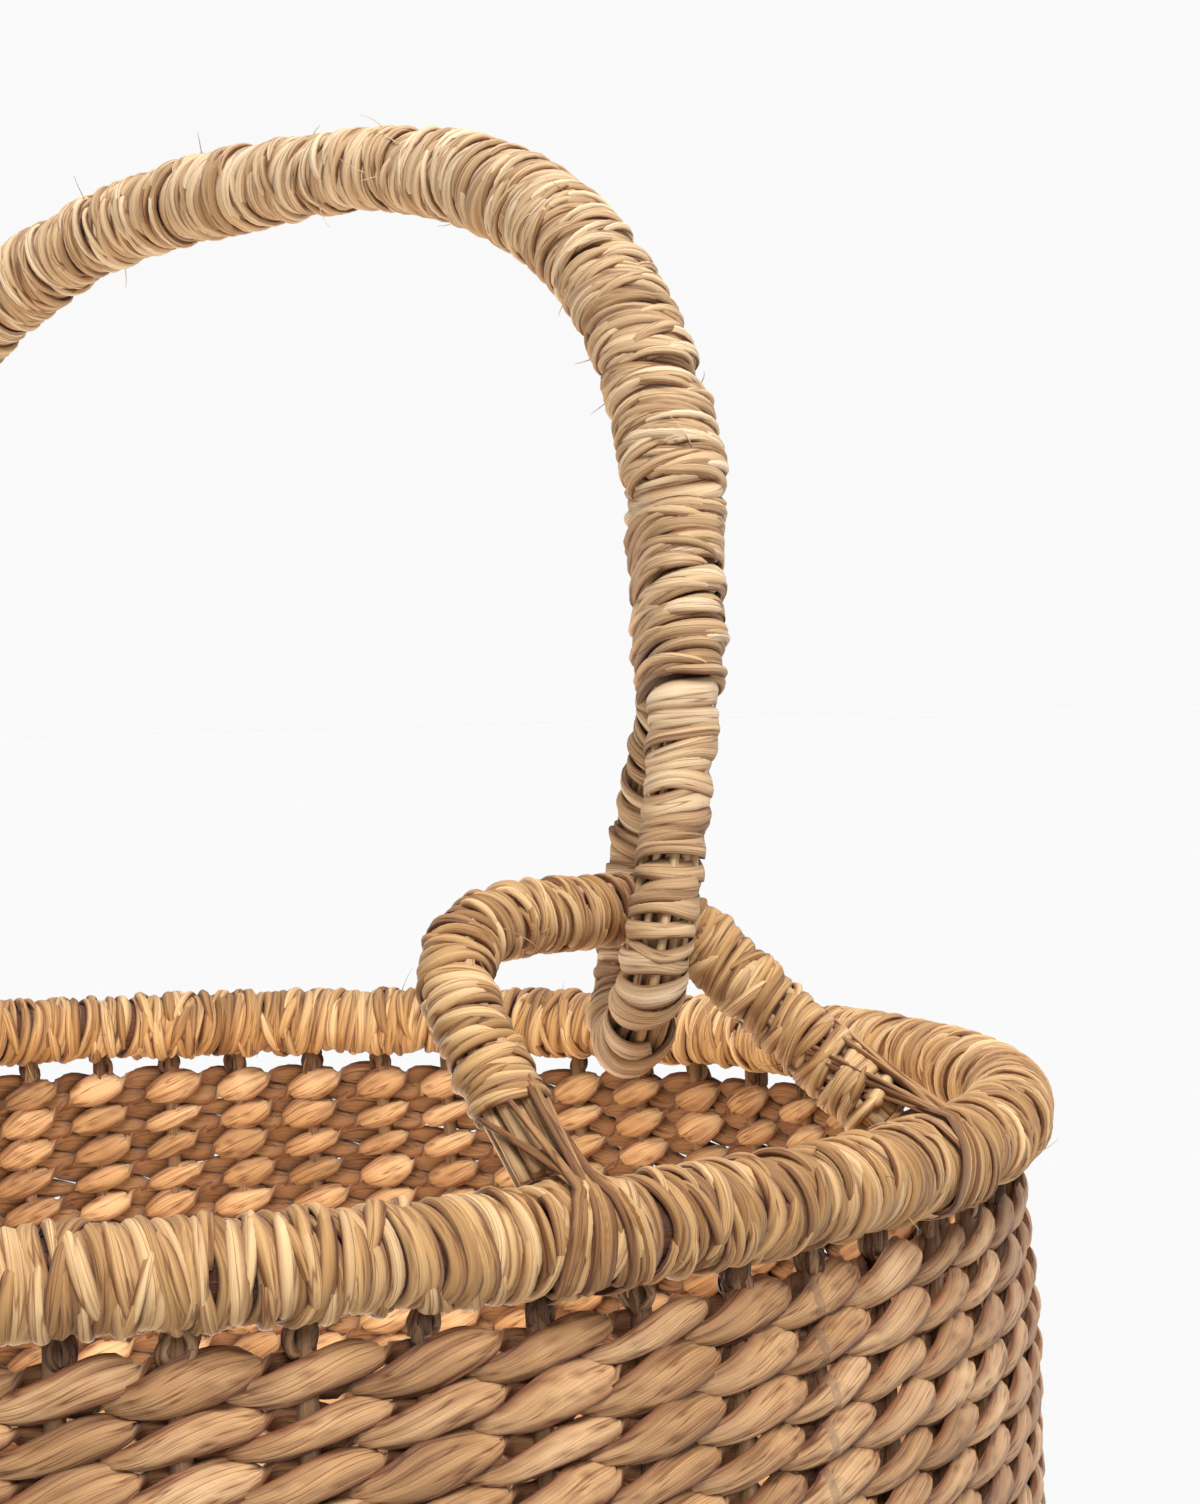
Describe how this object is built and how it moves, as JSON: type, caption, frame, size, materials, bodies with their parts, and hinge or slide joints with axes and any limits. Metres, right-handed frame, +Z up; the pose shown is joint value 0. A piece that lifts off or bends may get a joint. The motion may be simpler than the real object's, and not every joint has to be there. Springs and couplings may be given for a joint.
{
  "type": "seagrass storage basket",
  "caption": "Round twined seagrass storage basket with a thick wrapped rim, two upright wrapped ears and a wrapped bail handle that swings on them.",
  "frame": {"origin": "on the floor under the middle of the base", "axes": "+Z up, +X from the middle to the right ear, along the handle's hinge line; +Y is the side that the handle leans to at rest"},
  "size_m": [0.4014, 0.4014, 0.4575],
  "materials": {
    "seagrass_wall": "matte dry grass, twined",
    "seagrass_base": "matte dry grass, twined",
    "seagrass_stake": "matte dry grass cord",
    "seagrass_rim": "satin dry grass ribbon, wrapped",
    "seagrass_lashing": "matte dry grass, knotted",
    "seagrass_handle": "satin dry grass ribbon, wrapped",
    "core_fibre": "pale bare grass fibre"
  },
  "bodies": {
    "basket": {"base_weave": "seagrass_base", "base_border": "seagrass_base", "rim_wrap": "seagrass_rim", "rim_core": "core_fibre", "rim_lashing": "seagrass_lashing", "wall_course_01": "seagrass_wall", "wall_course_02": "seagrass_wall", "wall_course_03": "seagrass_wall", "wall_course_04": "seagrass_wall", "wall_course_05": "seagrass_wall", "wall_course_06": "seagrass_wall", "wall_course_07": "seagrass_wall", "wall_course_08": "seagrass_wall", "wall_course_09": "seagrass_wall", "wall_course_10": "seagrass_wall", "wall_course_11": "seagrass_wall", "wall_course_12": "seagrass_wall", "wall_course_13": "seagrass_wall", "wall_course_14": "seagrass_wall", "wall_course_15": "seagrass_wall", "wall_course_16": "seagrass_wall", "wall_course_17": "seagrass_wall", "wall_course_18": "seagrass_wall", "wall_course_19": "seagrass_wall", "wall_course_20": "seagrass_wall", "wall_course_21": "seagrass_wall", "wall_course_22": "seagrass_wall", "wall_course_23": "seagrass_wall", "wall_course_24": "seagrass_wall", "wall_course_25": "seagrass_wall", "wall_course_26": "seagrass_wall", "wall_course_27": "seagrass_wall", "stake_panel_01": "seagrass_stake", "stake_panel_02": "seagrass_stake", "stake_panel_03": "seagrass_stake", "stake_panel_04": "seagrass_stake", "stake_panel_05": "seagrass_stake", "stake_panel_06": "seagrass_stake", "stake_panel_07": "seagrass_stake", "stake_panel_08": "seagrass_stake", "stake_panel_09": "seagrass_stake", "stake_panel_10": "seagrass_stake", "ear_core_right": "core_fibre", "ear_wrap_right": "seagrass_rim", "ear_lashing_right_a": "seagrass_lashing", "ear_lashing_right_b": "seagrass_lashing", "ear_core_left": "core_fibre", "ear_wrap_left": "seagrass_rim", "ear_lashing_left_a": "seagrass_lashing", "ear_lashing_left_b": "seagrass_lashing"},
    "handle": {"handle_core": "core_fibre", "handle_wrap": "seagrass_handle", "eye_wrap_right": "seagrass_handle", "eye_wrap_left": "seagrass_handle", "eye_binding_right": "seagrass_lashing", "eye_binding_left": "seagrass_lashing"}
  },
  "joints": [
    {"name": "handle_swing", "type": "hinge", "parent": "basket", "child": "handle", "pos_m": [0, 0.015, 0.288], "axis": [1, 0, 0], "range_deg": [-25, 36]}
  ]
}
